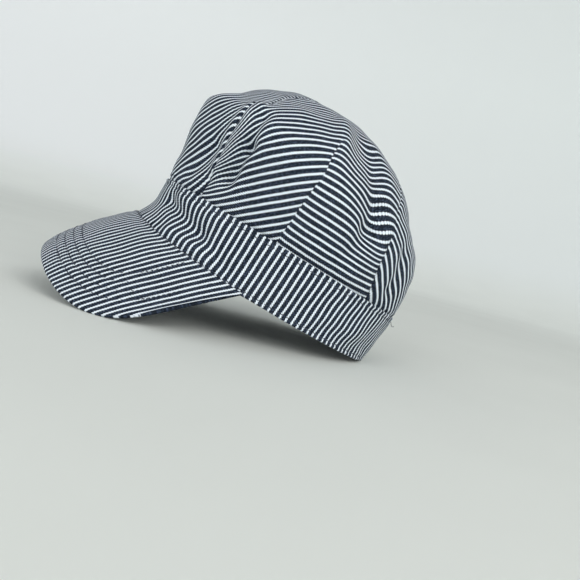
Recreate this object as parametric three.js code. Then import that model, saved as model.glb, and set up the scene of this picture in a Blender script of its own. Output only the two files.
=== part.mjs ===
import * as THREE from 'three';

// Railroad engineer cap in striped cotton twill. Millimetres, Z up, brim toward -Y.
// Every form is worked out on a level band whose lower edge lies at Z = 0.
// The group then tips the cap back, so that it rests on the back hem and both brim lobes.

const DEG = Math.PI / 180;

// Pose on the surface
const REST_TILT = 17.2;
const HEM_PRESS = 1.6;
const SEAM_GAP = 0.3;

// Band: an oval ring, drawn in along the hem and pushed out by the brim in front
const BAND = {
  height: 40.5,
  hemHalfLength: 98,
  hemHalfWidth: 80,
  topHalfLength: 100.2,
  topHalfWidth: 84,
  topShiftBack: 0.75,
  frontLift: 5.3,
  frontFlare: 9,
  flareHeight: 0.55,
  wall: 2.4,
};

// Brim: straight rulings run forward and down from the band's front edge
const BRIM = {
  halfAngle: 80.6,
  pitch: 46.5,
  frontReach: 135,
  sideReach: 56,
  squareness: 2.4,
  sideFan: 12,
  sideRise: 4,
  tipDroop: 6.4,
  wall: 3,
};

// Crown: outline of the front, side and back from the band (v = 0) to the top (v = 1)
const CROWN_WALL = 2;
const CROWN_TOP = 0.997;
const CROWN_CENTRE = new THREE.Vector3(0, 0, 55);
const CROWN_SECTIONS = [
  { v: 0.00, frontY: -99.5, frontZ: 40.8, sideX: 84, sideZ: 40.8, backY: 101, backZ: 40.8 },
  { v: 0.12, frontY: -101.3, frontZ: 62, sideX: 91, sideZ: 59, backY: 99.7, backZ: 61 },
  { v: 0.25, frontY: -105, frontZ: 81, sideX: 96, sideZ: 75, backY: 95, backZ: 79 },
  { v: 0.38, frontY: -105.6, frontZ: 95.5, sideX: 98, sideZ: 89, backY: 83.5, backZ: 93 },
  { v: 0.50, frontY: -103.3, frontZ: 107, sideX: 95, sideZ: 102.5, backY: 74, backZ: 102 },
  { v: 0.62, frontY: -91, frontZ: 117, sideX: 84, sideZ: 116.5, backY: 68, backZ: 109.5 },
  { v: 0.75, frontY: -74.4, frontZ: 131, sideX: 63, sideZ: 131.5, backY: 56.5, backZ: 120.5 },
  { v: 0.88, frontY: -48.4, frontZ: 143.5, sideX: 34, sideZ: 142.5, backY: 29, backZ: 134.5 },
  { v: 0.95, frontY: -24, frontZ: 147, sideX: 14, sideZ: 146.6, backY: 8.5, backZ: 145 },
  { v: 1.00, frontY: -7, frontZ: 148, sideX: 0, sideZ: 148, backY: -7, backZ: 148 },
];

// Full seams between the quarter panels: angle from the front at each height
const FRONT_SEAM = [
  { v: 0.00, angle: 43 },
  { v: 0.27, angle: 48 },
  { v: 0.45, angle: 50 },
  { v: 0.75, angle: 46.5 },
  { v: 1.00, angle: 45 },
];
const BACK_SEAM = [
  { v: 0.00, angle: 126 },
  { v: 0.15, angle: 122.5 },
  { v: 0.30, angle: 124 },
  { v: 0.45, angle: 134 },
  { v: 1.00, angle: 135 },
];

// Folds of the soft crown: a line from one point to another, its depth (a negative
// depth stands out) and how far it spreads to each side, in millimetres
const FOLDS = [
  { angle: 49, v: 0.12, toAngle: 54, toV: 0.34, depth: 9, spread: 9 },
  { angle: 43, v: 0.10, toAngle: 47, toV: 0.45, depth: -3, spread: 7 },
  { angle: 36, v: 0.08, toAngle: 40, toV: 0.32, depth: 3, spread: 6 },
  { angle: 94, v: 0.71, toAngle: 107, toV: 0.62, depth: 3.5, spread: 10 },
  { angle: 109, v: 0.58, toAngle: 112, toV: 0.44, depth: 5, spread: 10 },
  { angle: 112, v: 0.38, toAngle: 109, toV: 0.24, depth: 3, spread: 10 },
  { angle: 127, v: 0.50, toAngle: 128, toV: 0.34, depth: -3.5, spread: 14 },
  { angle: 142, v: 0.30, toAngle: 135, toV: 0.14, depth: 4, spread: 6 },
  { angle: 84, v: 0.76, toAngle: 90, toV: 0.66, depth: -3, spread: 8 },
  { angle: -50, v: 0.14, toAngle: -55, toV: 0.34, depth: 5, spread: 9 },
  { angle: -112, v: 0.60, toAngle: -110, toV: 0.28, depth: 4, spread: 9 },
  { angle: -146, v: 0.34, toAngle: -138, toV: 0.14, depth: 3, spread: 8 },
];
const FOLD_MM_PER_DEGREE = 1.6;
const FOLD_MM_PER_V = 150;

// Mesh steps
const STEPS = {
  crownUp: 20,
  sidePanel: 24,
  endPanel: 20,
  band: { around: 80, up: 6 },
  brim: { around: 44, out: 7 },
};

const STRIPED_TWILL = '#5c6270';
const twill = () => new THREE.MeshStandardMaterial({
  color: STRIPED_TWILL,
  roughness: 0.95,
  metalness: 0,
});

// Smooth curve through one column of a table whose rows have rising v. Heights (keys
// that end in Z) arrive level at the last row, so that the top of the crown is smooth.
function column(rows, key, v) {
  const last = rows.length - 1;
  let k = 0;
  while (k < last - 1 && v > rows[k + 1].v) {
    k += 1;
  }
  const slope = (i) => (rows[i + 1][key] - rows[i][key]) / (rows[i + 1].v - rows[i].v);
  const tangent = (i) => {
    if (i === 0) {
      return slope(0);
    }
    if (i === last) {
      return key.endsWith('Z') ? 0 : slope(last - 1);
    }
    const before = rows[i].v - rows[i - 1].v;
    const after = rows[i + 1].v - rows[i].v;
    return (after * slope(i - 1) + before * slope(i)) / (before + after);
  };
  const step = rows[k + 1].v - rows[k].v;
  const t = (v - rows[k].v) / step;
  const start = (1 + 2 * t) * (1 - t) * (1 - t);
  const leave = t * (1 - t) * (1 - t);
  const arrive = t * t * (t - 1);
  return start * rows[k][key] + (1 - start) * rows[k + 1][key]
    + step * (leave * tangent(k) + arrive * tangent(k + 1));
}

// How far the folds push the crown in at an angle (degrees) and height
function foldDepth(angle, v) {
  let depth = 0;
  for (const fold of FOLDS) {
    const alongX = (fold.toAngle - fold.angle) * FOLD_MM_PER_DEGREE;
    const alongY = (fold.toV - fold.v) * FOLD_MM_PER_V;
    const x = (angle - fold.angle) * FOLD_MM_PER_DEGREE;
    const y = (v - fold.v) * FOLD_MM_PER_V;
    const length2 = alongX * alongX + alongY * alongY;
    const t = THREE.MathUtils.clamp((x * alongX + y * alongY) / length2, 0, 1);
    const away2 = (x - t * alongX) ** 2 + (y - t * alongY) ** 2;
    depth += fold.depth * Math.exp(-away2 / (fold.spread * fold.spread));
  }
  return depth;
}

// Outer face of the crown; angle 0 is the front, 90 the wearer's left
function crownPoint(angle, v) {
  const row = {};
  for (const key of ['frontY', 'frontZ', 'sideX', 'sideZ', 'backY', 'backZ']) {
    row[key] = column(CROWN_SECTIONS, key, v);
  }
  const cos = Math.cos(angle * DEG);
  const sin = Math.sin(angle * DEG);
  const endZ = cos > 0 ? row.frontZ : row.backZ;
  const point = new THREE.Vector3(
    row.sideX * sin,
    (row.frontY + row.backY) / 2 - (row.backY - row.frontY) / 2 * cos,
    row.sideZ + (endZ - row.sideZ) * cos * cos,
  );
  const inward = CROWN_CENTRE.clone().sub(point).normalize();
  const base = Math.min(1, v / 0.08);
  return point.addScaledVector(inward, foldDepth(angle, v) * base);
}

// Outer face of the band; up runs from the hem (0) to the crown seam (1)
function bandPoint(angle, up) {
  const cos = Math.cos(angle * DEG);
  const front = Math.max(0, cos);
  const low = Math.max(0, 1 - up / BAND.flareHeight);
  const flare = BAND.frontFlare * front * low ** 1.5;
  const halfLength = THREE.MathUtils.lerp(BAND.hemHalfLength, BAND.topHalfLength, up) + flare;
  const halfWidth = THREE.MathUtils.lerp(BAND.hemHalfWidth, BAND.topHalfWidth, up) + flare;
  return new THREE.Vector3(
    halfWidth * Math.sin(angle * DEG),
    BAND.topShiftBack * up - halfLength * cos,
    BAND.frontLift * front ** 3 * (1 - up) + BAND.height * up,
  );
}

// Top face of the brim; across runs from -1 to 1, out from the band (0) to the rim (1)
function brimPoint(across, out) {
  const side = Math.abs(across);
  const forward = new THREE.Vector3(0, -Math.cos(BRIM.pitch * DEG), -Math.sin(BRIM.pitch * DEG));
  const raised = new THREE.Vector3(0, -Math.sin(BRIM.pitch * DEG), Math.cos(BRIM.pitch * DEG));
  const root = bandPoint(across * BRIM.halfAngle, 0);
  root.z -= SEAM_GAP;
  const square = Math.max(0, 1 - side ** BRIM.squareness) ** (1 / BRIM.squareness);
  const reach = BRIM.sideReach + (BRIM.frontReach - BRIM.sideReach) * square;
  const length = reach - root.dot(forward);
  const rise = BRIM.sideRise * side ** 4 * out - BRIM.tipDroop * (1 - side * side) * out ** 4;
  root.addScaledVector(forward, length * out);
  root.addScaledVector(raised, rise);
  root.x += BRIM.sideFan * side ** 3 * Math.sign(across) * out;
  return root;
}

// A closed wall under the face point(s, t), with s and t from 0 to 1. The face looks
// along ds x dt. A ring joins its last row to its first and has no end walls.
function wallGeometry(point, wall, sCount, tCount, ring) {
  const columns = ring ? sCount : sCount + 1;
  const rows = tCount + 1;
  const positions = [];
  const small = 1e-3;
  const faceNormal = (s, t) => {
    const t0 = Math.max(0, t - small);
    const t1 = Math.min(1, t + small);
    const ds = point(s + small, t).sub(point(s - small, t));
    const dt = point(s, t1).sub(point(s, t0));
    return ds.cross(dt).normalize();
  };
  for (const depth of [0, wall]) {
    for (let i = 0; i < columns; i += 1) {
      for (let j = 0; j < rows; j += 1) {
        const s = i / sCount;
        const t = j / tCount;
        const place = point(s, t).addScaledVector(faceNormal(s, t), -depth);
        positions.push(...pressedToFloor(place).toArray());
      }
    }
  }
  const outer = (i, j) => (i % columns) * rows + j;
  const inner = (i, j) => columns * rows + outer(i, j);
  const index = [];
  const quad = (a, b, c, d) => index.push(a, b, c, a, c, d);
  for (let i = 0; i < sCount; i += 1) {
    for (let j = 0; j < tCount; j += 1) {
      quad(outer(i, j), outer(i + 1, j), outer(i + 1, j + 1), outer(i, j + 1));
      quad(inner(i, j), inner(i, j + 1), inner(i + 1, j + 1), inner(i + 1, j));
    }
    quad(inner(i, 0), inner(i + 1, 0), outer(i + 1, 0), outer(i, 0));
    quad(outer(i, tCount), outer(i + 1, tCount), inner(i + 1, tCount), inner(i, tCount));
  }
  if (!ring) {
    for (let j = 0; j < tCount; j += 1) {
      quad(outer(0, j + 1), inner(0, j + 1), inner(0, j), outer(0, j));
      quad(inner(sCount, j), inner(sCount, j + 1), outer(sCount, j + 1), outer(sCount, j));
    }
  }
  const geometry = new THREE.BufferGeometry();
  geometry.setAttribute('position', new THREE.Float32BufferAttribute(positions, 3));
  geometry.setIndex(index);
  geometry.computeVertexNormals();
  return geometry;
}

// The floor as the level band sees it: cloth below it is pressed flat onto it
const floorUp = new THREE.Vector3(0, -Math.sin(REST_TILT * DEG), Math.cos(REST_TILT * DEG));
const floorHeight = bandPoint(180, 0).dot(floorUp) + HEM_PRESS;

function pressedToFloor(place) {
  const below = floorHeight - place.dot(floorUp);
  return below > 0 ? place.addScaledVector(floorUp, below) : place;
}

// A quarter of the crown between two seams, with half of the seam gap left on each side
function crownPanel(fromSeam, toSeam, around) {
  const point = (s, t) => {
    const v = t * CROWN_TOP;
    const from = fromSeam(v);
    const to = toSeam(v);
    const halfGap = (angle) => {
      const perDegree = crownPoint(angle + 0.5, v).distanceTo(crownPoint(angle - 0.5, v));
      return SEAM_GAP / 2 / perDegree;
    };
    return crownPoint(THREE.MathUtils.lerp(from + halfGap(from), to - halfGap(to), s), v);
  };
  return wallGeometry(point, CROWN_WALL, around, STEPS.crownUp, false);
}

const frontLeft = (v) => column(FRONT_SEAM, 'angle', v);
const backLeft = (v) => column(BACK_SEAM, 'angle', v);
const frontRight = (v) => -frontLeft(v);
const backRight = (v) => -backLeft(v);
const backRightOnward = (v) => 360 - backLeft(v);

const band = wallGeometry(
  (s, t) => bandPoint(s * 360, t),
  BAND.wall,
  STEPS.band.around,
  STEPS.band.up,
  true,
);

// Steps across the brim crowd together where the rim turns the corner
const brim = wallGeometry(
  (s, t) => {
    const across = Math.sin((THREE.MathUtils.clamp(s, 0, 1) - 0.5) * Math.PI);
    return brimPoint(across, t);
  },
  BRIM.wall,
  STEPS.brim.around,
  STEPS.brim.out,
  false,
);

const pieces = [
  ['crown_front', crownPanel(frontRight, frontLeft, STEPS.endPanel)],
  ['crown_left', crownPanel(frontLeft, backLeft, STEPS.sidePanel)],
  ['crown_back', crownPanel(backLeft, backRightOnward, STEPS.endPanel)],
  ['crown_right', crownPanel(backRight, frontRight, STEPS.sidePanel)],
  ['band', band],
  ['brim', brim],
];

const cap = new THREE.Group();
for (const [name, geometry] of pieces) {
  const mesh = new THREE.Mesh(geometry, twill());
  mesh.name = name;
  cap.add(mesh);
}

// Tip the cap back onto the floor, with its box centred over the origin
cap.rotation.x = -REST_TILT * DEG;
cap.position.z = -floorHeight;
cap.updateMatrixWorld(true);
const middle = new THREE.Box3().setFromObject(cap, true).getCenter(new THREE.Vector3());
cap.position.x = -middle.x;
cap.position.y = -middle.y;

export default cap;
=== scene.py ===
"""Railroad engineer cap in hickory-stripe cotton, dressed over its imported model.

Forms are worked out in millimetres on a level band whose lower edge lies at height 0,
with the brim toward -Y. to_rest() then tips the cap back onto the floor, in metres.
"""

import math

import bpy
import numpy as np
from mathutils import Matrix, Vector


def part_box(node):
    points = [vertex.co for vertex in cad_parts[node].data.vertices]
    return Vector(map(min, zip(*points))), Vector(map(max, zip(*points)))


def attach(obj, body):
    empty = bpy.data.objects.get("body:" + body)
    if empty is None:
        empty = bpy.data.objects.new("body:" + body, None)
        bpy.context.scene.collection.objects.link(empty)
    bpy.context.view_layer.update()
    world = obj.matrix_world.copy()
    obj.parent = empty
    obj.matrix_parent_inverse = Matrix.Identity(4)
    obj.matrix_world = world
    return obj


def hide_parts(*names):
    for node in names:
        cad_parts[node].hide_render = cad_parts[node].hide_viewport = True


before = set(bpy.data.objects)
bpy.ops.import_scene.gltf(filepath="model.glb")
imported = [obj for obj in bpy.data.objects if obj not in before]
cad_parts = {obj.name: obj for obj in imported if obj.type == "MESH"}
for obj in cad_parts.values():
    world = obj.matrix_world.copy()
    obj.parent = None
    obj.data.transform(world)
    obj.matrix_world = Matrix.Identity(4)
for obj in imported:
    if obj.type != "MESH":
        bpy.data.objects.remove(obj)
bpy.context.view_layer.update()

DEG = math.pi / 180
TURN = 2 * math.pi
MM = 0.001
BODY = "root"

# Pose on the floor
REST_TILT = 17.2
HEM_PRESS = 1.6
# Pieces that are sewn together lie this far apart
SEAM_GAP = 0.3

# Band: an oval ring, drawn in along the hem and pushed out by the brim in front
BAND_HEIGHT = 40.5
BAND_HEM = (98.0, 80.0)
BAND_TOP = (100.2, 84.0)
BAND_TOP_BACK = 0.75
BAND_FRONT_LIFT = 5.3
BAND_LIFT_POWER = 3
BAND_FLARE = 9.0
BAND_FLARE_HEIGHT = 0.55
BAND_FLARE_POWER = 1.5
BAND_WALL = 2.0
BAND_MM_PER_DEGREE = 1.58
BAND_ROW_CROWDING = 0.55
BAND_BEND_STEPS = 7
# Rows of stitching: height of each above the hem, and the groove that they draw in
BAND_STITCH_ROWS = (3.2, BAND_HEIGHT - 3.6)
BAND_STITCH_GROOVE = 0.6
BAND_STITCH_GROOVE_WIDTH = 1.1
BAND_STITCH_SINK = 0.52
# The thread pulls harder once in this many millimetres: its mean pull, and the change
BAND_PULL_PITCH = 3.45
BAND_PULL = (0.75, 0.25)
# The folded band stands just proud of the crown cloth that it holds
BAND_PROUD = 0.35
BAND_DENTS = 0.28
# Puckers along both edges: length and share of both waves, where they start, and depth
BAND_PUCKERS = ((9.5, 1.0), (6.1, 0.7))
BAND_PUCKER_STARTS = (0, 1.1)
BAND_PUCKER_DEPTH = 0.13
BAND_PUCKER_HEIGHTS = (1, 39)

# Brim: straight rulings run forward and down from the band's front edge
BRIM_HALF_ANGLE = 80.6
BRIM_PITCH = 46.5
BRIM_FRONT_REACH = 135.0
BRIM_SIDE_REACH = 56.0
BRIM_SQUARENESS = 2.4
BRIM_SIDE_FAN = 12.0
BRIM_SIDE_RISE = 4.0
BRIM_TIP_DROOP = 6.4
BRIM_WALL = 3.0
BRIM_STRIPE_SCALE = 1.27
BRIM_STITCH_INSETS = (11.5, 17.5, 23.5, 29.5)
BRIM_STITCH_GROOVE = 0.42
BRIM_STITCH_SINK = 0.34
BRIM_ROOT_GROOVE = 0.7
BRIM_ROOT_GROOVE_LENGTH = 0.05
# Its inner edge lies this far inside the band, as a share of its length
BRIM_TUCK = -0.035
# Shortest and longest wave of its dents, their height, and where they start from the edge
BRIM_DENTS = (16, 44, 0.2)
BRIM_DENTS_START = 8
# How much the mesh crowds toward the rim, and how nearly its sides make a half turn
BRIM_ROW_CROWDING = 1.5
BRIM_SIDE_SPAN = 0.9999
# Steps of its flat plan, and where along the rulings it is measured
PLAN_STEPS = 801
PLAN_PLACE = 0.35
RIM_STEPS = 361
SIDE_STEPS = 60
SIDE_START = -20

# Crown: outline from the band (v = 0) to the top (v = 1), as v, then y and z of the front,
# x and z of the side, and y and z of the back
CROWN_WALL = 1.3
CROWN_TOP = 0.9995
CROWN_FOLD_START = 0.08
CROWN_CENTRE = np.array([0.0, 0.0, 55.0])
# How far the cloth is tucked down behind the band, in three rows
CROWN_TUCK = np.array([3.4, 1.9, 0.8])
# How much the mesh crowds toward its seams, and toward the band
COLUMN_CROWDING = 0.62
ROW_CROWDING = 0.75
CROWN_SECTIONS = np.array([
    (0.00, -99.5, 40.8, 84, 40.8, 101, 40.8),
    (0.12, -101.3, 62, 91, 59, 99.7, 61),
    (0.25, -105, 81, 96, 75, 95, 79),
    (0.38, -105.6, 95.5, 98, 89, 83.5, 93),
    (0.50, -103.3, 107, 95, 102.5, 74, 102),
    (0.62, -91, 117, 84, 116.5, 68, 109.5),
    (0.75, -74.4, 131, 63, 131.5, 56.5, 120.5),
    (0.88, -48.4, 143.5, 34, 142.5, 29, 134.5),
    (0.95, -24, 147, 14, 146.6, 8.5, 145),
    (1.00, -7, 148, 0, 148, -7, 148),
])

# Seams and darts: height, then angle from the front, toward the wearer's left
FRONT_SEAM = np.array([(0.00, 43.5), (0.27, 48), (0.45, 50), (0.75, 46.5), (1.00, 45)])
BACK_SEAM = np.array([
    (0.00, 126), (0.14, 122.5), (0.26, 124), (0.40, 130), (0.60, 135), (1.00, 135),
])
SIDE_DART = np.array([
    (0.00, 81), (0.13, 82), (0.27, 85), (0.45, 90), (0.65, 88.5), (1.00, 90),
])
MIDDLE = np.array([(0.00, 0), (1.00, 0)])
DART_TOP = 0.66
DART_FADE = 0.1

# Folds of the soft crown: from one angle and height to another, depth (a negative depth
# stands out) and spread to each side, in millimetres
CROWN_FOLDS = (
    (31, 0.06, 40, 0.21, 3, 6),
    (46, 0.12, 50.5, 0.54, -4, 5),
    (51.5, 0.12, 55, 0.33, 8, 5.5),
    (55, 0.33, 55.5, 0.50, 5, 6),
    (96, 0.71, 112, 0.57, 2.5, 10),
    (112, 0.57, 117, 0.42, 2.5, 9),
    (117, 0.42, 113, 0.28, 4, 8),
    (113, 0.28, 108, 0.13, 4, 7),
    (137, 0.28, 136, 0.08, 2.5, 6),
    (84, 0.76, 90, 0.64, -3, 8),
    (-50, 0.14, -55, 0.34, 5, 9),
    (-48, 0.46, -44, 0.66, -5, 16),
    (-112, 0.60, -110, 0.28, 4, 9),
    (-146, 0.34, -138, 0.14, 3, 8),
)
# Millimetres for a degree around the crown, and from the band to the top
CROWN_SCALE = (1.6, 150)

# How far the cloth of each panel has slid down into a fold, in the same columns
CROWN_SLIDES = {
    "crown_front": (
        (48, 0.14, 51, 0.60, -15, 16),
    ),
    "crown_left": (
        (90, 0.82, 104, 0.66, 4, 13),
        (104, 0.66, 118, 0.24, 8, 15),
    ),
    "crown_back": (),
    "crown_right": (
        (-49, 0.20, -51, 0.45, 8, 12),
    ),
}

# How far the left panel's cloth is drawn down at the front seam: height, then amount
SEAM_DRAG = np.array([
    (0.00, 0), (0.10, 16), (0.20, 30), (0.30, 34), (0.45, 27), (0.60, 15), (0.78, 2), (1.00, 0),
])
SEAM_DRAG_REACH = 7.5

# Creases of the band, in the same columns
BAND_FOLDS = (
    (27, 0.64, 53, 0.46, 3.4, 5),
    (53, 0.46, 71, 0.20, 2.8, 5),
    (40, 0.22, 62, 0.24, -2.2, 5),
    (34, 0.86, 60, 0.80, -1.6, 5),
    (-30, 0.60, -62, 0.38, 2.2, 6),
    (118, 0.18, 150, 0.22, 1.2, 6),
    (-126, 0.2, -150, 0.24, 1.2, 6),
)

# Cloth and sewing
STRIPE_PITCH = 4.55
SEAM_DEPTH = 1.2
SEAM_WIDTH = 1.5
DART_DEPTH = 0.9 * SEAM_DEPTH
BASE_DEPTH = 1.3
BASE_WIDTH = 1.6
# Puckers beside the seams and above the band: length and share of both waves, and depth
SEAM_PUCKERS = ((7.4, 1.0), (4.6, 0.6))
SEAM_PUCKER_DEPTH = 0.16
BASE_PUCKERS = ((8.3, 1.0), (5.1, 0.7))
BASE_PUCKER_DEPTH = 0.2
# They reach this far, and start this far from a seam
PUCKER_REACH = 6
DART_PUCKER_REACH = 5
PUCKER_START = 2
# The dents of worn cloth start this far above the band, and from the seams
DENTS_START = (6, 4)
THREAD_SIDES = 6
THREAD_RADIUS = 0.31
STITCH_LENGTH = 2.7
STITCH_GAP = 0.55
# Along a stitch: place and thickness as shares, and height over the cloth in millimetres
STITCH_PROFILE = (
    (-0.5, 0.35, -0.45), (-0.42, 0.85, -0.1), (-0.2, 1.0, 0.12),
    (0.2, 1.0, 0.12), (0.42, 0.85, -0.1), (0.5, 0.35, -0.45),
)
STITCH_AHEAD = 0.3
STITCH_SHIFT = 0.12
STITCH_SCALE = (0.93, 1.04)
LOOSE_THREAD_START = (166, 0.93)
LOOSE_THREAD_LENGTH = 5.2
LOOSE_THREAD_RADIUS = 0.2
LOOSE_THREAD_STEPS = 14
LOOSE_THREAD_ROOT = 0.6
# It swings to one side and curls down: how far, and how fast
LOOSE_THREAD_SWING = (0.35, 5)
LOOSE_THREAD_CURL = (1.6, 4.2)

# Camera, as the level band sees it
VIEW_ANGLE = 80.5
VIEW_RISE = 1.9
VIEW_ROLL = 31.8
VIEW_DISTANCE = 487.0
VIEW_TARGET = np.array([0.0, 22.5, 17.0])
LENS_MM = 38.92
SENSOR_MM = 36.0

# Studio, in metres: place, power and tint of its lights, and a bowl for floor and wall
LIGHTS = (
    ("key_light", (2.0, 1.1, 1.35), 27, (1.0, 0.99, 0.975)),
    ("fill_light", (2.0, -1.5, 1.0), 18, (0.97, 0.99, 1.0)),
)
LIGHT_SIZE = 1.6
LIGHT_TARGET = (0, 0, 0.08)
SKY_TINT = (0.965, 0.985, 1.0, 1.0)
SKY_STRENGTH = 0.42
BOWL_FLAT_RADIUS = 2.2
BOWL_SWEEP = 1.2
BOWL_HEIGHT = 2.6
BOWL_SIDES = 128
BOWL_BEND_STEPS = 24
BOWL_MIDDLE_RADIUS = 0.7

# A small step over a surface, to find how it slopes
SMALL = 1e-3
SEED = 20


# the level band's frame to the floor's frame
FLOOR_UP = np.array([0.0, -math.sin(REST_TILT * DEG), math.cos(REST_TILT * DEG)])
BACK_UP = np.array([0.0, math.cos(REST_TILT * DEG), math.sin(REST_TILT * DEG)])
BACK_HEM = np.array([0.0, BAND_HEM[0], 0.0])
BACK_TOP = np.array([0.0, BAND_TOP[0] + BAND_TOP_BACK, BAND_HEIGHT])
FLOOR_HEIGHT = BACK_HEM @ FLOOR_UP + HEM_PRESS
SHIFT_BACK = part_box("band")[1].y / MM - BACK_TOP @ BACK_UP


def to_rest(points):
    """Level points in millimetres, pressed flat where they pass the floor, in metres at rest."""
    height = np.maximum(points @ FLOOR_UP - FLOOR_HEIGHT, 0)
    return np.stack([points[..., 0], points @ BACK_UP + SHIFT_BACK, height], -1) * MM


def turned(direction):
    """A level direction as the floor sees it."""
    return np.array([direction[0], direction @ BACK_UP, direction @ FLOOR_UP])


# curves and surfaces
def through(places, values, at, level_end=False):
    """Smooth curve through values at rising places; level_end makes it arrive flat."""
    at = np.asarray(at, float)
    gap = np.diff(places)
    slope = np.diff(values) / gap
    inside = (gap[1:] * slope[:-1] + gap[:-1] * slope[1:]) / (gap[:-1] + gap[1:])
    tangent = np.concatenate([slope[:1], inside, [0.0] if level_end else slope[-1:]])
    k = np.clip(np.searchsorted(places, at) - 1, 0, len(places) - 2)
    t = (at - places[k]) / gap[k]
    start = (1 + 2 * t) * (1 - t) ** 2
    bend = t * (1 - t) ** 2 * tangent[k] + t * t * (t - 1) * tangent[k + 1]
    return start * values[k] + (1 - start) * values[k + 1] + gap[k] * bend


def resample(grid, at):
    """Rows of an evenly spaced grid at the places at, each from 0 to 1 along its first axis."""
    last = len(grid) - 1
    k = np.clip((at * last).astype(int), 0, last - 1)
    t = (at * last - k).reshape((-1,) + (1,) * (grid.ndim - 1))
    tangent = np.gradient(grid, axis=0)
    start = (1 + 2 * t) * (1 - t) ** 2
    bend = t * (1 - t) ** 2 * tangent[k] + t * t * (t - 1) * tangent[k + 1]
    return start * grid[k] + (1 - start) * grid[k + 1] + bend


def fold_depth(folds, angle, up, mm_per_degree, mm_per_up):
    """How far the folds push a surface in at each angle and height."""
    angle = (angle + 180) % 360 - 180
    depth = np.zeros(np.broadcast(angle, up).shape)
    for angle0, up0, angle1, up1, deep, spread in folds:
        along_x = (angle1 - angle0) * mm_per_degree
        along_y = (up1 - up0) * mm_per_up
        x = (angle - angle0) * mm_per_degree
        y = (up - up0) * mm_per_up
        t = np.clip((x * along_x + y * along_y) / (along_x**2 + along_y**2), 0, 1)
        away = (x - t * along_x) ** 2 + (y - t * along_y) ** 2
        depth += deep * np.exp(-away / spread**2)
    return depth


def crown_form(angle, v):
    """Outer face of the crown before its folds. Every second column, a height, ends level."""
    rises, *columns = CROWN_SECTIONS.T
    front_y, front_z, side_x, side_z, back_y, back_z = [
        through(rises, column, v, k % 2 == 1) for k, column in enumerate(columns)
    ]
    cos = np.cos(angle * DEG)
    end_z = np.where(cos > 0, front_z, back_z)
    return np.stack([
        side_x * np.sin(angle * DEG),
        (front_y + back_y) / 2 - (back_y - front_y) / 2 * cos,
        side_z + (end_z - side_z) * cos * cos,
    ], -1)


def crown_point(angle, v):
    """Outer face of the crown with its folds."""
    place = crown_form(angle, v)
    inward = unit(CROWN_CENTRE - place)
    depth = fold_depth(CROWN_FOLDS, angle, v, *CROWN_SCALE)
    return place + inward * (depth * np.minimum(1, v / CROWN_FOLD_START))[..., None]


def band_point(angle, up):
    """Outer face of the band; up runs from the hem (0) to the crown seam (1)."""
    cos = np.cos(angle * DEG)
    front = np.maximum(0, cos)
    low = np.maximum(0, 1 - up / BAND_FLARE_HEIGHT)
    flare = BAND_FLARE * front * low**BAND_FLARE_POWER
    half_length = BAND_HEM[0] + (BAND_TOP[0] - BAND_HEM[0]) * up + flare
    half_width = BAND_HEM[1] + (BAND_TOP[1] - BAND_HEM[1]) * up + flare
    return np.stack([
        half_width * np.sin(angle * DEG),
        BAND_TOP_BACK * up - half_length * cos,
        BAND_FRONT_LIFT * front**BAND_LIFT_POWER * (1 - up) + BAND_HEIGHT * up,
    ], -1)


BRIM_FORWARD = np.array([0, -math.cos(BRIM_PITCH * DEG), -math.sin(BRIM_PITCH * DEG)])
BRIM_RAISED = np.array([0, -math.sin(BRIM_PITCH * DEG), math.cos(BRIM_PITCH * DEG)])


def brim_root(across):
    """Where the brim's top face meets the band."""
    return band_point(across * BRIM_HALF_ANGLE, 0.0 * across) - np.array([0, 0, SEAM_GAP])


def brim_reach(across):
    """How far forward of the origin the rim lies."""
    square = np.maximum(0, 1 - np.abs(across) ** BRIM_SQUARENESS) ** (1 / BRIM_SQUARENESS)
    return BRIM_SIDE_REACH + (BRIM_FRONT_REACH - BRIM_SIDE_REACH) * square


def brim_point(across, out):
    """Top face of the brim; across runs from -1 to 1, out from the band (0) to the rim (1)."""
    side = np.abs(across)
    root = brim_root(across)
    length = brim_reach(across) - root @ BRIM_FORWARD
    droop = BRIM_TIP_DROOP * (1 - side * side) * np.maximum(out, 0) ** 4
    rise = BRIM_SIDE_RISE * side**4 * out - droop
    place = root + BRIM_FORWARD * (length * out)[..., None] + BRIM_RAISED * rise[..., None]
    place[..., 0] += BRIM_SIDE_FAN * side**3 * np.sign(across) * out
    return place


def grid_normals(grid):
    """Unit normals of a grid of points, along its first axis x its second."""
    normal = np.cross(np.gradient(grid, axis=0), np.gradient(grid, axis=1))
    size = np.linalg.norm(normal, axis=-1, keepdims=True)
    return normal / np.maximum(size, 1e-9)


def unevenness(points, seed, shortest=13.0, longest=38.0, height=0.32, waves=26):
    """Gentle dents of worn cloth: a sum of waves in all directions."""
    draw = np.random.default_rng(seed)
    total = np.zeros(points.shape[:-1])
    for _ in range(waves):
        direction = unit(draw.normal(size=3))
        length = draw.uniform(shortest, longest)
        total += np.sin(points @ direction * (TURN / length) + draw.uniform(0, 6.28))
    return total * height / math.sqrt(waves / 2)


def puckers(along, waves, starts):
    """A sum of waves along a length: the length and share of each, and its start."""
    total = 0
    for (length, share), start in zip(waves, starts):
        total = total + share * np.sin(along * TURN / length + start)
    return total


def ridge(distance, width):
    """1 at no distance, falling away on both sides in a bell of that width."""
    return np.exp(-((distance / width) ** 2))


def running_length(points, axis=0):
    """Length walked along rows of points from the first of each."""
    steps = np.linalg.norm(np.diff(points, axis=axis), axis=-1)
    start = np.zeros_like(steps.take([0], axis=axis))
    return np.concatenate([start, np.cumsum(steps, axis=axis)], axis=axis)


def unit(vectors):
    """Rows of vectors, each one long."""
    return vectors / np.linalg.norm(vectors, axis=-1, keepdims=True)


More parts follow.
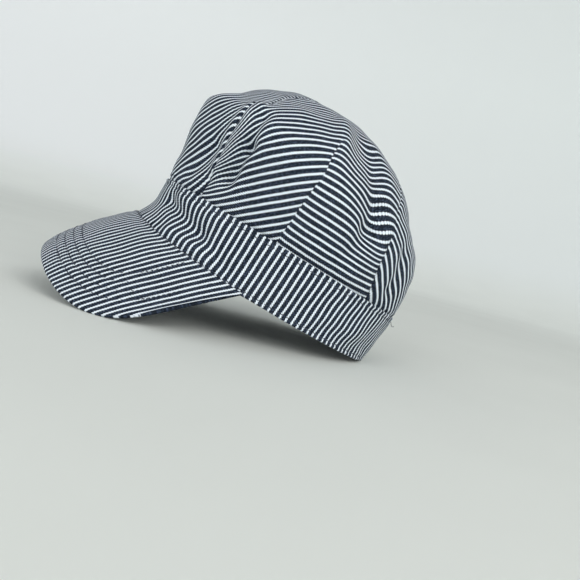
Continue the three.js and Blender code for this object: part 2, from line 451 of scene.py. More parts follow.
# flat cutting of a crown panel, so that its stripes run straight in the cloth
FLAT_STEPS = (14, 30)
FLAT_ROUNDS = 120
FLAT_STIFFNESS = (0.02, 5)
EDGES = ((0, 1), (1, 2), (2, 0))


def slit_grid(columns, rows, slit, slit_rows):
    """Vertex numbers seen from the left and the right of a column that is slit part way up."""
    left = numbered(columns, rows)
    right = left.copy()
    right[slit, :slit_rows] = columns * rows + np.arange(slit_rows)
    triangles = []
    for i in range(columns - 1):
        ids = right if i >= slit else left
        for j in range(rows - 1):
            a, b, c, d = ids[i, j], ids[i + 1, j], ids[i + 1, j + 1], ids[i, j + 1]
            triangles += [(a, b, c), (a, c, d)] if (i + j) % 2 else [(a, b, d), (b, c, d)]
    return left, right, np.array(triangles)


def flattened(points, slit, slit_rows):
    """A panel laid flat with as little stretch as the cloth allows: rounds of turning every
    triangle to fit, and then solving for the points that fit them best."""
    columns, rows = points.shape[:2]
    left, right, triangles = slit_grid(columns, rows, slit, slit_rows)
    count = columns * rows + slit_rows
    solid = np.zeros((count, 3))
    solid[left] = points
    solid[right[slit, :slit_rows]] = points[slit, :slit_rows]
    corner = solid[triangles]
    side = corner[:, 1] - corner[:, 0]
    other = corner[:, 2] - corner[:, 0]
    onward = unit(side)
    upright = np.cross(unit(np.cross(side, other)), onward)
    own = np.zeros((len(triangles), 3, 2))
    own[:, 1, 0] = np.linalg.norm(side, axis=1)
    own[:, 2, 0] = (other * onward).sum(1)
    own[:, 2, 1] = (other * upright).sum(1)

    def spread(apex, a, b):
        one = own[:, a] - own[:, apex]
        two = own[:, b] - own[:, apex]
        cross = np.abs(one[:, 0] * two[:, 1] - one[:, 1] * two[:, 0])
        return np.clip((one * two).sum(1) / cross, *FLAT_STIFFNESS) / 2

    weights = [spread(2, 0, 1), spread(0, 1, 2), spread(1, 2, 0)]
    own_edges = [own[:, a] - own[:, b] for a, b in EDGES]
    matrix = np.zeros((count, count))
    for weight, (a, b) in zip(weights, EDGES):
        for here, there in ((triangles[:, a], triangles[:, b]), (triangles[:, b], triangles[:, a])):
            np.add.at(matrix, (here, here), weight)
            np.add.at(matrix, (here, there), -weight)
    matrix[0, :] = 0
    matrix[0, 0] = 1
    inverse = np.linalg.inv(matrix)

    width = running_length(points)
    width -= width[slit]
    height = np.broadcast_to(running_length(points[slit]), width.shape)
    flat = np.zeros((count, 2))
    flat[left] = np.stack([width, height], -1)
    flat[right[slit, :slit_rows]] = flat[left[slit, :slit_rows]]
    for _ in range(FLAT_ROUNDS):
        turn = np.zeros((len(triangles), 2, 2))
        for weight, edge, (a, b) in zip(weights, own_edges, EDGES):
            now = flat[triangles[:, a]] - flat[triangles[:, b]]
            turn += weight[:, None, None] * now[:, :, None] * edge[:, None, :]
        angle = np.arctan2(turn[:, 1, 0] - turn[:, 0, 1], turn[:, 0, 0] + turn[:, 1, 1])
        cos, sin = np.cos(angle), np.sin(angle)
        wanted = np.zeros((count, 2))
        for weight, edge, (a, b) in zip(weights, own_edges, EDGES):
            x = (cos * edge[:, 0] - sin * edge[:, 1]) * weight
            y = (sin * edge[:, 0] + cos * edge[:, 1]) * weight
            pull = np.stack([x, y], -1)
            np.add.at(wanted, triangles[:, a], pull)
            np.add.at(wanted, triangles[:, b], -pull)
        wanted[0] = 0
        flat = inverse @ wanted
    return flat[left], flat[right]


def direction_of(vector):
    """Direction of a flat vector, in degrees."""
    return math.degrees(math.atan2(vector[1], vector[0]))


# meshes
def linked_object(name, data):
    """A new object in the scene that shows this data."""
    made = bpy.data.objects.new(name, data)
    bpy.context.scene.collection.objects.link(made)
    return made


def rest_mesh(name, points, faces, smooth=True):
    """A mesh of level points in millimetres, laid on the floor."""
    mesh = bpy.data.meshes.new(name)
    mesh.from_pydata(to_rest(np.asarray(points)).tolist(), [], faces)
    mesh.polygons.foreach_set("use_smooth", np.full(len(faces), smooth))
    mesh.update()
    return mesh


def cloth_object(name, points, quads, cloth, is_inside=False):
    """A mesh of quads, with cloth places in millimetres at each corner of each quad."""
    mesh = rest_mesh(name, points, quads.tolist())
    layer = mesh.uv_layers.new(name="cloth")
    layer.data.foreach_set("uv", cloth.reshape(-1).astype(np.float32))
    mesh.polygons.foreach_set("material_index", np.full(len(quads), is_inside, np.int32))
    mesh.validate()
    mesh.update()
    return linked_object(name, mesh)


def numbered(columns, rows):
    """A grid of vertex numbers."""
    return np.arange(columns * rows).reshape(columns, rows)


def grid_quads(ids):
    """Quads of a grid of vertex numbers."""
    return np.stack([ids[:-1, :-1], ids[1:, :-1], ids[1:, 1:], ids[:-1, 1:]], -1).reshape(-1, 4)


def grid_corners(values):
    """The value at each corner of each quad of a grid."""
    around = [values[:-1, :-1], values[1:, :-1], values[1:, 1:], values[:-1, 1:]]
    return np.stack(around, 2).reshape(-1, 4, values.shape[-1])


def wall(face, back, places):
    """Quads between two rows of vertex numbers, and the place at each of their corners."""
    quads = np.stack([face[:-1], face[1:], back[1:], back[:-1]], -1)
    return quads, np.stack([places[:-1], places[1:], places[1:], places[:-1]], 1)


def panel_angles(start, dart, end, columns, v):
    """Angles of a panel at rows v, with the same columns in both of its halves."""
    first = start(v) + (dart(v) - start(v)) * columns[:, None]
    second = dart(v) + (end(v) - dart(v)) * columns[1:, None]
    return np.concatenate([first, second])


def panel_cloth(start, dart, end, columns, v):
    """Cloth places of both halves of a crown panel, at the columns of each half and rows v,
    and the direction of its lower edge at each end."""
    steps, steps_up = FLAT_STEPS
    rows = np.linspace(0, 1, steps_up) * CROWN_TOP
    angle = panel_angles(start, dart, end, np.linspace(0, 1, steps + 1), rows)
    points = crown_form(angle, np.broadcast_to(rows, angle.shape))
    left, right = flattened(points, steps, int(DART_TOP * steps_up))
    halves = []
    for half in (left[: steps + 1], right[steps:]):
        fine = resample(half, columns)
        fine = resample(fine.transpose(1, 0, 2), v / CROWN_TOP).transpose(1, 0, 2)
        halves.append(fine)
    start_base = direction_of(left[steps - 1, 0] - left[0, 0])
    end_base = direction_of(right[-1, 0] - right[steps + 1, 0])
    return halves, start_base, end_base


def stripes_along(flat, degrees):
    """Cloth places (across the stripes, along them) of flat places, stripes at that angle."""
    cos, sin = math.cos(degrees * DEG), math.sin(degrees * DEG)
    return np.stack([
        cos * flat[..., 1] - sin * flat[..., 0],
        cos * flat[..., 0] + sin * flat[..., 1],
    ], -1)


def sewn_relief(outer, height, dart_column, seed):
    """How far a panel's cloth stands out, beside its seams, its dart and the band."""
    along = running_length(outer)
    climb = running_length(outer, axis=1)
    to_seam = np.minimum(along, along[-1] - along)
    to_dart = np.abs(along - along[dart_column])
    dart_fade = np.clip((DART_TOP - height) / DART_FADE, 0, 1) ** 0.5
    groove = SEAM_DEPTH * np.exp(-to_seam / SEAM_WIDTH)
    groove += DART_DEPTH * dart_fade * np.exp(-to_dart / SEAM_WIDTH)
    groove += BASE_DEPTH * np.exp(-climb / BASE_WIDTH)
    near_seam = ridge(to_seam, PUCKER_REACH) * np.minimum(to_seam / PUCKER_START, 1)
    near_dart = ridge(to_dart, DART_PUCKER_REACH) * np.minimum(to_dart / PUCKER_START, 1)
    up_seam = puckers(climb, SEAM_PUCKERS, (seed, 0))
    round_base = puckers(along, BASE_PUCKERS, (seed, 0))
    swell = SEAM_PUCKER_DEPTH * up_seam * (near_seam + dart_fade * near_dart)
    swell += BASE_PUCKER_DEPTH * round_base * ridge(climb, PUCKER_REACH)
    above_band, from_seam = DENTS_START
    calm = np.minimum(1, climb / above_band) * np.minimum(1, to_seam / from_seam)
    return swell + unevenness(outer, SEED) * calm - groove


def cloth_slide(name, angle, height, from_seam):
    """How far the cloth of a panel has slid down at each place."""
    slide = fold_depth(CROWN_SLIDES[name], angle, height, *CROWN_SCALE)
    if name == "crown_left":
        drag = through(*SEAM_DRAG.T, height)
        slide = slide + drag * np.exp(-from_seam / SEAM_DRAG_REACH)
    return slide


def crown_panel(name, start, dart, end, stripe_turn, turn_from, seed):
    """A quarter of the crown between two seams, with a dart up its middle."""
    per_half = 60
    rows = 120
    even = np.linspace(0, 1, per_half + 1)
    columns = even - COLUMN_CROWDING * np.sin(TURN * even) / TURN
    lift = np.linspace(0, 1, rows)
    v = (lift - ROW_CROWDING * np.sin(math.pi * lift) / math.pi * (1 - lift)) * CROWN_TOP
    angle = panel_angles(start, dart, end, columns, v)
    height = np.broadcast_to(v, angle.shape)
    smooth = crown_point(angle, height)
    relief = sewn_relief(smooth, height, per_half, seed)
    outer = smooth + grid_normals(smooth) * relief[..., None]
    tuck = np.repeat(outer[:, :1], len(CROWN_TUCK), axis=1)
    tuck[..., 2] -= CROWN_TUCK
    outer = np.concatenate([tuck, outer], axis=1)
    inner = outer - grid_normals(outer) * CROWN_WALL

    halves, start_base, end_base = panel_cloth(start, dart, end, columns, v)
    turn = stripe_turn + (start_base if turn_from == "start" else end_base)
    slide = cloth_slide(name, angle, height, running_length(smooth))
    cloth = []
    for flat, slid in zip(halves, (slide[: per_half + 1], slide[per_half:])):
        flat[..., 1] += slid
        below = np.repeat(flat[:, :1], len(CROWN_TUCK), axis=1)
        below[..., 1] -= CROWN_TUCK
        cloth.append(stripes_along(np.concatenate([below, flat], axis=1), turn))
    return closed_shell(name + "_cloth", outer, inner, cloth, per_half)


def closed_shell(name, outer, inner, cloth, split):
    """Outer and inner grids joined by edge walls. cloth holds the places left and right of
    the split column."""
    columns, rows = outer.shape[:2]
    top = numbered(columns, rows)
    under = top + columns * rows
    cloth_left, cloth_right = cloth
    quads, corners, inside = [], [], []

    def add(made, places, flipped, is_inside):
        way = -1 if flipped else 1
        quads.append(made[:, ::way])
        corners.append(places[:, ::way])
        inside.append(np.full(len(made), is_inside))

    for ids, lies_inside in ((top, False), (under, True)):
        add(grid_quads(ids[: split + 1]), grid_corners(cloth_left), lies_inside, lies_inside)
        add(grid_quads(ids[split:]), grid_corners(cloth_right), lies_inside, lies_inside)
    whole = np.concatenate([cloth_left, cloth_right[1:]])
    rims = (
        (top[:, 0], under[:, 0], whole[:, 0], True),
        (top[:, -1], under[:, -1], whole[:, -1], False),
        (top[0], under[0], whole[0], False),
        (top[-1], under[-1], whole[-1], True),
    )
    for face, back, places, flipped in rims:
        add(*wall(face, back, places), flipped, False)
    points = np.concatenate([outer.reshape(-1, 3), inner.reshape(-1, 3)])
    return cloth_object(
        name, points, np.concatenate(quads), np.concatenate(corners), np.concatenate(inside)
    )


def band_section(face_rows):
    """Section through the band's wall, round its four faces: height and depth of each row."""
    even = np.linspace(0, 1, face_rows)
    face_up = (even - BAND_ROW_CROWDING * np.sin(TURN * even) / TURN) * BAND_HEIGHT
    half = BAND_WALL / 2
    bend = np.linspace(0, math.pi, BAND_BEND_STEPS)[1:-1]
    up = np.concatenate([
        half + face_up * (1 - 2 * half / BAND_HEIGHT),
        BAND_HEIGHT - half + half * np.sin(bend),
        BAND_HEIGHT - half - (BAND_HEIGHT - 2 * half) * even,
        half - half * np.sin(bend),
    ])
    depth = np.concatenate([
        np.zeros(face_rows),
        half - half * np.cos(bend),
        np.full(face_rows, BAND_WALL),
        half + half * np.cos(bend),
    ])
    return up, depth


def band_normals(angles, ups, face_rows):
    """Unit normals of the band's smooth outer face, for the height of each row."""
    face_angles = angles[:, :face_rows]
    even = np.broadcast_to(np.linspace(0, 1, face_rows), face_angles.shape)
    normal = grid_normals(band_point(face_angles, even))
    normal[0] = normal[-1] = (normal[0] + normal[-1]) / 2
    rows = np.clip(np.round(ups[0] * (face_rows - 1)).astype(int), 0, face_rows - 1)
    return normal[:, rows]


def band_push(face, angles, ups, outside):
    """How far creases, stitching, puckers and dents push the band's cloth in."""
    push = fold_depth(BAND_FOLDS, angles, ups, BAND_MM_PER_DEGREE, BAND_HEIGHT)
    along = angles * BAND_MM_PER_DEGREE
    ups_mm = ups * BAND_HEIGHT
    mean, change = BAND_PULL
    pull = mean + change * np.cos(along * TURN / BAND_PULL_PITCH)
    for row in BAND_STITCH_ROWS:
        line = ridge(ups_mm - row, BAND_STITCH_GROOVE_WIDTH)
        push = push + BAND_STITCH_GROOVE * line * pull * outside
    edges = sum(ridge(ups_mm - middle, PUCKER_REACH) for middle in BAND_PUCKER_HEIGHTS)
    waves = puckers(along, BAND_PUCKERS, BAND_PUCKER_STARTS)
    push = push + BAND_PUCKER_DEPTH * waves * edges
    return push - unevenness(face, SEED + 1, height=BAND_DENTS) - BAND_PROUD


def band_ring():
    """The band as one folded ring, with its creases, stitch lines and rounded edges."""
    around = 540
    face_rows = 34
    angle = np.linspace(0, 360, around + 1) - 180
    up, depth = band_section(face_rows)
    angles = np.repeat(angle[:, None], len(up), axis=1)
    ups = np.broadcast_to(up / BAND_HEIGHT, angles.shape)
    face = band_point(angles, ups)
    push = band_push(face, angles, ups, np.clip(1 - depth / BAND_WALL, 0, 1))
    points = face - band_normals(angles, ups, face_rows) * (push + depth)[..., None]

    # Whole stripes go around, and the cloth folds over at the top
    length = running_length(band_point(angle, np.full(len(angle), 0.5)))
    stripes = round(length[-1] / STRIPE_PITCH)
    across = length / length[-1] * stripes * STRIPE_PITCH
    down = np.where(depth > BAND_WALL / 2, 2 * BAND_HEIGHT - up, up)
    down = np.concatenate([down, [down[-1] + 0.5]])
    places = np.stack(np.meshgrid(across, down, indexing="ij"), -1)
    ids = numbered(around, len(up))
    ids = np.concatenate([ids, ids[:1]])
    ids = np.concatenate([ids, ids[:, :1]], axis=1)
    points = points[:-1].reshape(-1, 3)
    return cloth_object("band_cloth", points, grid_quads(ids), grid_corners(places))


def brim_plan(across):
    """Distance across the brim along its cloth, for each across."""
    fine = np.linspace(-1, 1, PLAN_STEPS)
    section = brim_point(fine, np.full(fine.shape, PLAN_PLACE))
    section = section - (section @ BRIM_FORWARD)[:, None] * BRIM_FORWARD
    length = running_length(section)
    return np.interp(across, fine, length - length[PLAN_STEPS // 2])


def brim_outline():
    """The brim's free edge in its flat plan: across the cloth, and forward."""
    edge = np.sin(np.linspace(-math.pi / 2, math.pi / 2, RIM_STEPS))
    curve = np.stack([brim_plan(edge), brim_reach(edge)], -1)
    side = np.linspace(SIDE_START, BRIM_SIDE_REACH, SIDE_STEPS)[:-1]
    left = np.stack([np.full(len(side), curve[0, 0]), side], -1)
    right = np.stack([np.full(len(side), curve[-1, 0]), side[::-1]], -1)
    return np.concatenate([left, curve, right])


def brim_inset(across, out, outline):
    """How far inside the brim's free edge each place lies, on its flat plan."""
    root = brim_root(across) @ BRIM_FORWARD
    forward = root + (brim_reach(across) - root) * out
    plan = brim_plan(across)
    nearest = np.full(across.shape, np.inf)
    for place in outline:
        nearest = np.minimum(nearest, (plan - place[0]) ** 2 + (forward - place[1]) ** 2)
    return np.sqrt(nearest)


def brim_faces(face, inset, out):
    """Top and under face of the brim, pressed in by its stitching and rounded at the rim."""
    radius = BRIM_WALL / 2
    half = radius * np.sqrt(1 - (1 - np.minimum(inset / radius, 1)) ** 2)
    groove = BRIM_ROOT_GROOVE * ridge(out, BRIM_ROOT_GROOVE_LENGTH)
    for row in BRIM_STITCH_INSETS:
        groove = groove + BRIM_STITCH_GROOVE * ridge(inset - row, 1)
    swell = unevenness(face, SEED + 2, *BRIM_DENTS) * np.minimum(1, inset / BRIM_DENTS_START)
    normal = grid_normals(face)
    core = face - normal * radius
    pressed = half - groove * (half / radius)
    top = core + normal * (pressed + swell)[..., None]
    low = core - normal * (pressed - swell)[..., None]
    return top, low


def brim_places(plan, face):
    """Cloth places of the brim. Its stripes run along the rulings, with a white one over the
    middle and both edges navy."""
    half_plan = plan[-1, 0]
    half_stripes = round(half_plan * BRIM_STRIPE_SCALE / STRIPE_PITCH) + 0.5
    forward = np.linalg.norm(face - face[:, :1], axis=-1)
    return np.stack([(plan / half_plan * half_stripes + 0.5) * STRIPE_PITCH, forward], -1)


def brim_shell():
    """The brim: two faces that meet in a rounded edge, quilted by rows of stitching."""
    across_steps = 260
    out_steps = 110
    across = np.sin(np.linspace(-1, 1, across_steps + 1) * math.pi / 2 * BRIM_SIDE_SPAN)
    out = 1 - (1 - np.linspace(0, 1, out_steps)) ** BRIM_ROW_CROWDING
    out = np.concatenate([[BRIM_TUCK], out])
    grid_across, grid_out = np.meshgrid(across, out, indexing="ij")
    face = brim_point(grid_across, grid_out)
    inset = brim_inset(grid_across, grid_out, brim_outline())
    inset[:, -1] = inset[0] = inset[-1] = 0
    top, low = brim_faces(face, inset, grid_out)

    # Both faces share their points along the rim and the sides
    columns, rows = face.shape[:2]
    top_ids = numbered(columns, rows)
    low_ids = top_ids + columns * rows
    low_ids[:, -1] = top_ids[:, -1]
    low_ids[0] = top_ids[0]
    low_ids[-1] = top_ids[-1]
    places = brim_places(brim_plan(grid_across), face)
    root_quads, root_places = wall(low_ids[:, 0], top_ids[:, 0], places[:, 0])
    quads = np.concatenate([grid_quads(top_ids), grid_quads(low_ids)[:, ::-1], root_quads])
    corners = np.concatenate([grid_corners(places), grid_corners(places)[:, ::-1], root_places])
    keep = np.array([len(set(quad)) > 2 for quad in quads.tolist()])
    quads, corners = quads[keep], corners[keep]
    used = np.zeros(columns * rows * 2, bool)
    used[quads.reshape(-1)] = True
    renumber = np.cumsum(used) - 1
    points = np.concatenate([top.reshape(-1, 3), low.reshape(-1, 3)])[used]
    return cloth_object("brim_cloth", points, renumber[quads], corners)


# stitches
def thread_tube(path, side, upright, radius):
    """Points of a thread and its faces, closed at both ends: rings around a path."""
    ring = np.arange(THREAD_SIDES) * TURN / THREAD_SIDES
    offset = np.cos(ring)[None, :, None] * side[:, None]
    offset = offset + np.sin(ring)[None, :, None] * upright[:, None]
    points = (path[:, None] + offset * np.reshape(radius, (-1, 1, 1))).reshape(-1, 3)
    ids = numbered(len(path), THREAD_SIDES)
    sides = grid_quads(np.concatenate([ids, ids[:, :1]], axis=1)[:, ::-1])
    return points, sides.tolist() + [ids[0, ::-1].tolist(), ids[-1].tolist()]


def row_stitches(path, normals, jitter):
    """Small loops of thread along a path, eased into the cloth at both ends."""
    length = running_length(path)
    along, thick, lift = np.array(STITCH_PROFILE).T
    stitches = []

    def on_path(values, places):
        return np.stack([np.interp(places, length, values[:, k]) for k in range(3)], -1)

    for middle in np.arange(STITCH_LENGTH, length[-1] - STITCH_LENGTH, STITCH_LENGTH + STITCH_GAP):
        middle += jitter.uniform(-STITCH_SHIFT, STITCH_SHIFT)
        here = middle + along * STITCH_LENGTH * jitter.uniform(*STITCH_SCALE)
        place = on_path(path, here)
        normal = on_path(normals, here)
        side = unit(np.cross(unit(on_path(path, here + STITCH_AHEAD) - place), normal))
        risen = place + normal * lift[:, None]
        stitches.append(thread_tube(risen, side, normal, thick * THREAD_RADIUS))
    return stitches


def thread_object(name, rows):
    """All stitches of these rows, each a path and its normals, as one mesh."""
    jitter = np.random.default_rng(SEED + 7)
    vertices, faces = [], []
    for path, normals in rows:
        for points, sides in row_stitches(path, normals, jitter):
            start = len(vertices)
            vertices += points.tolist()
            faces += [[start + corner for corner in face] for face in sides]
    return linked_object(name, rest_mesh(name, vertices, faces))


def brim_stitches():
    """Rows of stitching that follow the brim's edge, on its top and under it."""
    outline = brim_outline()
    tangent = np.gradient(outline, axis=0)
    inward = unit(np.stack([tangent[:, 1], -tangent[:, 0]], -1))
    fine = np.linspace(-1, 1, PLAN_STEPS)
    plan = brim_plan(fine)
    rows = []
    for inset in BRIM_STITCH_INSETS:
        line = outline + inward * inset
        across = np.interp(line[:, 0], plan, fine)
        root = brim_root(across) @ BRIM_FORWARD
        out = (line[:, 1] - root) / (brim_reach(across) - root)
        keep = (out > 0.01) & (out < 1) & (np.abs(line[:, 0]) < plan[-1] - inset + 0.5)
        across, out = across[keep], out[keep]
        place = brim_point(across, out)
        ahead = brim_point(across, out + SMALL) - place
        beside = brim_point(across + SMALL, out) - place
        normal = unit(np.cross(beside, ahead))
        rows.append((place - normal * BRIM_STITCH_SINK, normal))
        rows.append((place - normal * (BRIM_WALL - BRIM_STITCH_SINK), -normal))
    return thread_object("brim_stitches", rows)


def band_stitches():
    """Rows of stitching below the crown seam and above the hem."""
    angle = np.linspace(-180, 180, 721)
    rows = []
    for up_mm in BAND_STITCH_ROWS:
        up = np.full(angle.shape, up_mm / BAND_HEIGHT)
        place = band_point(angle, up)
        beside = band_point(angle + 0.1, up) - place
        normal = unit(np.cross(beside, band_point(angle, up + 0.01) - place))
        push = fold_depth(BAND_FOLDS, angle, up, BAND_MM_PER_DEGREE, BAND_HEIGHT)
        push = push + BAND_STITCH_SINK - unevenness(place, SEED + 1, height=BAND_DENTS) - BAND_PROUD
        rows.append((place - normal * push[:, None], normal))
    return thread_object("band_stitches", rows)


def loose_thread():
    """The end of a sewing thread that stands out at the back of the band."""
    angle, up = LOOSE_THREAD_START
    start = band_point(np.array([angle]), np.array([up]))[0]
    out = np.array([math.sin(angle * DEG), -math.cos(angle * DEG), 0.0])
    t = np.linspace(0, 1, LOOSE_THREAD_STEPS)[:, None]
    aside, aside_rate = LOOSE_THREAD_SWING
    fall, fall_rate = LOOSE_THREAD_CURL
    curl = np.concatenate([aside * np.sin(aside_rate * t), 0 * t, fall * np.cos(fall_rate * t)], 1)
    path = start + out * (LOOSE_THREAD_LENGTH * t - LOOSE_THREAD_ROOT) + curl - curl[0]
    ahead = unit(np.gradient(path, axis=0))
    side = unit(np.cross(ahead, (1.0, 0.0, 0.0)))
    points, faces = thread_tube(path, side, np.cross(side, ahead), LOOSE_THREAD_RADIUS)
    return linked_object("loose_thread", rest_mesh("loose_thread", points, faces, False))


# materials
class Wire:
    """A socket of a material, with arithmetic that adds Math nodes."""

    def __init__(self, tree, socket=None):
        self.tree = tree
        self.socket = socket

    def node(self, kind, settings, sockets, output=0):
        """A new node: its settings, then the values or links of its sockets."""
        made = self.tree.nodes.new(kind)
        for name, value in settings.items():
            setattr(made, name, value)
        self.plug(made, sockets)
        return Wire(self.tree, made.outputs[output])

    def plug(self, node, sockets):
        """Links wires to a node's own sockets, and sets its constants."""
        for key, value in sockets.items():
            if isinstance(value, Wire):
                self.tree.links.new(value.socket, node.inputs[key])
            else:
                node.inputs[key].default_value = value

    def parts(self, vector):
        """The three numbers of a vector."""
        apart = self.node("ShaderNodeSeparateXYZ", {}, {0: vector}).socket.node
        return [Wire(self.tree, output) for output in apart.outputs]

    def cloth_place(self):
        """Place in the cloth: across the stripes and along them, in millimetres."""
        return self.node("ShaderNodeUVMap", {"uv_map": "cloth"}, {})

    def solid_place(self):
        """Place in the object, in metres."""
        return self.node("ShaderNodeTexCoord", {}, {}, 3)

    def bump(self, height, strength, distance):
        sockets = {"Strength": strength, "Distance": distance, "Height": height}
        return self.node("ShaderNodeBump", {}, sockets)

    def math(self, operation, *values):
        return self.node("ShaderNodeMath", {"operation": operation}, dict(enumerate(values)))

    def __add__(self, other):
        return self.math("ADD", self, other)

    def __radd__(self, other):
        return self.math("ADD", other, self)

    def __sub__(self, other):
        return self.math("SUBTRACT", self, other)

    def __rsub__(self, other):
        return self.math("SUBTRACT", other, self)

    def __mul__(self, other):
        return self.math("MULTIPLY", self, other)

    def __truediv__(self, other):
        return self.math("DIVIDE", self, other)

    def fraction(self):
        return self.math("FRACT", self)

    def size(self):
        return self.math("ABSOLUTE", self)

    def sine(self):
        return self.math("SINE", self)

    def ramp(self, low, high):
        """0 below low to 1 above high, eased."""
        settings = {"interpolation_type": "SMOOTHSTEP"}
        return self.node("ShaderNodeMapRange", settings, {0: self, 1: low, 2: high, 3: 0.0, 4: 1.0})

    def noise(self, vector, scale, detail=2.0, roughness=0.5):
        sockets = {"Vector": vector, "Scale": scale, "Detail": detail, "Roughness": roughness}
        return self.node("ShaderNodeTexNoise", {}, sockets)

    def blend(self, first, second):
        """Two colours mixed, with this wire as the share of the second."""
        sockets = {0: self, 6: first, 7: second}
        return self.node("ShaderNodeMix", {"data_type": "RGBA"}, sockets, 2)


def colour(red, green, blue):
    """A display colour from 0 to 255 as a linear one."""
    def linear(value):
        value /= 255
        return value / 12.92 if value <= 0.04045 else ((value + 0.055) / 1.055) ** 2.4
    return (linear(red), linear(green), linear(blue), 1.0)


NAVY = colour(15, 23, 33)
NAVY_FLECK = colour(84, 97, 122)
WHITE = colour(237, 244, 251)
WHITE_SHADE = colour(184, 195, 208)
WORN = colour(150, 156, 168)
THREAD_NAVY = colour(24, 31, 44)
BLACK = colour(0, 0, 0)
FLOOR_SHADE = colour(232, 235, 230)
FLOOR_MOTTLE = colour(229, 232, 227)
WALL_SHADE = colour(246, 248, 249)
WALL_PAINTED_SHADE = colour(237, 241, 240)
REVERSE_GROUND = colour(88, 97, 116)
REVERSE_FLECK = colour(140, 148, 162)
REVERSE_WHITE = colour(214, 219, 222)
THREAD_SHEEN = colour(62, 70, 90)

# Stripes, in millimetres: half a white one, how soft and ragged its edge is, how far it
# wanders, and how much of a pitch it starts later in each next piece
WHITE_HALF_WIDTH = 0.74
WHITE_EDGE = 0.16
EDGE_FUZZ = 0.6
EDGE_WALE = 0.36
YARN_DRIFT = 0.7
STRIPE_START = 0.37
# Diagonal ribs of the twill: their pitch and lean, and the relief of the weave, in metres
WALE_PITCH = 1.25
WALE_ACROSS = 0.62
WALE_ALONG = 0.78
WEAVE_RELIEF = 0.00022
PLY_RELIEF = 0.0001
# How much the pale flecks show in the navy, and how far the cloth has faded and worn
FLECK = 0.52
NAVY_FADE = 0.02
WEAR = 0.027


def start_material(name):
    """A material with its shader and a wire to build on."""
    material = bpy.data.materials.new(name)
    material.use_nodes = True
    tree = material.node_tree
    return material, tree.nodes["Principled BSDF"], Wire(tree)


def twill_wale(across, along):
    """The diagonal ribs, 0 in the grooves and 1 on the ribs."""
    lean = across * WALE_ACROSS + along * WALE_ALONG
    return (lean * (TURN / WALE_PITCH)).sine() * 0.5 + 0.5


def striped_twill(name, seed):
    """Hickory stripe: navy twill with narrow white stripes, along the cloth's own places."""
    material, shader, wire = start_material(name)
    place = wire.cloth_place()
    across, along = wire.parts(place)[:2]

    # Yarns wander a little, and the diagonal wale breaks the edge of every white stripe
    drifted = across + (wire.noise(place, 0.045, 1.0) - 0.5) * YARN_DRIFT
    wale = twill_wale(drifted, along)
    fuzz = wire.noise(place, 1.35) - 0.5
    turns = drifted / STRIPE_PITCH + seed * STRIPE_START
    off = (turns.fraction() - 0.5).size() * STRIPE_PITCH
    edge = off + fuzz * EDGE_FUZZ - (wale - 0.5) * EDGE_WALE - WHITE_HALF_WIDTH
    white = 1 - edge.ramp(-WHITE_EDGE, WHITE_EDGE)

    fleck = wire.noise(place, 0.8).ramp(0.44, 0.62) * (wale * 0.6 + 0.4)
    navy = (fleck * FLECK + NAVY_FADE).blend(NAVY, NAVY_FLECK)
    shade = (1 - wale).ramp(0.35, 1.0) * 0.5 + fuzz.size() * 0.5
    dyed = white.blend(navy, shade.blend(WHITE, WHITE_SHADE))
    washed = wire.noise(wire.solid_place(), 24.0, 3.0, 0.6).ramp(0.30, 0.72)
    relief = wale * 0.55 + white * 0.35 + fuzz * 0.35
    wire.plug(shader, {
        "Base Color": (washed * WEAR).blend(dyed, WORN),
        "Roughness": 0.86 + fleck * 0.08,
        "Normal": wire.bump(relief, 0.55, WEAVE_RELIEF),
        "Specular IOR Level": 0.12,
    })
    return material


def reverse_twill():
    """The back of the cloth, paler, with the stripes showing faintly."""
    material, shader, wire = start_material("twill_reverse")
    place = wire.cloth_place()
    across, along = wire.parts(place)[:2]
    wale = twill_wale(across * -1, along)
    fuzz = wire.noise(place, 1.3) - 0.5
    off = ((across / STRIPE_PITCH).fraction() - 0.5).size() * STRIPE_PITCH
    white = 1 - (off + fuzz * 0.5 - WHITE_HALF_WIDTH).ramp(-0.2, 0.2)
    ground = (wale * 0.6 + fuzz.size()).blend(REVERSE_GROUND, REVERSE_FLECK)
    wire.plug(shader, {
        "Base Color": white.blend(ground, REVERSE_WHITE),
        "Roughness": 0.95,
        "Normal": wire.bump(wale * 0.6 + fuzz * 0.4, 0.5, WEAVE_RELIEF),
        "Specular IOR Level": 0.2,
    })
    return material


def sewing_thread():
    """Dark spun thread, with the turns of its ply."""
    material, shader, wire = start_material("sewing_thread")
    ply = wire.noise(wire.solid_place(), 2600.0)
    wire.plug(shader, {
        "Base Color": ply.ramp(0.3, 0.75).blend(THREAD_NAVY, THREAD_SHEEN),
        "Roughness": 0.7,
        "Normal": wire.bump(ply, 0.4, PLY_RELIEF),
    })
    return material


def pale_card(name):
    """Plain pale backdrop, its wall a little lighter than its floor, with painted shade that
    darkens the wall toward +Y and a painted glow in the wall's colour that rises with distance from
    the middle.
    """
    material, shader, wire = start_material(name)
    solid = wire.solid_place()
    back, height = wire.parts(solid)[1:]
    mottle = wire.noise(solid, 6.0).ramp(0.2, 0.8)
    floor = mottle.blend(FLOOR_SHADE, FLOOR_MOTTLE)
    # Painted shade: the wall darkens toward +Y
    wall = back.ramp(-1.5, 2.0).blend(WALL_SHADE, WALL_PAINTED_SHADE)
    away = wire.node("ShaderNodeVectorMath", {"operation": "LENGTH"}, {0: solid}, 1)
    wire.plug(shader, {
        "Base Color": height.ramp(0.0, 0.25).blend(floor, wall),
        "Roughness": 0.95,
        "Specular IOR Level": 0.1,
        # Painted glow: the bowl emits its wall colour, none within 0.7 m of the middle and in full
        # beyond 2.6 m
        "Emission Color": away.ramp(0.7, 2.6).blend(BLACK, wall),
        "Emission Strength": 0.13,
    })
    return material


# the cap
def along_curve(table, sign=1, turn=0):
    """The angle of a seam or dart at each height."""
    return lambda v: sign * through(*table.T, v) + turn


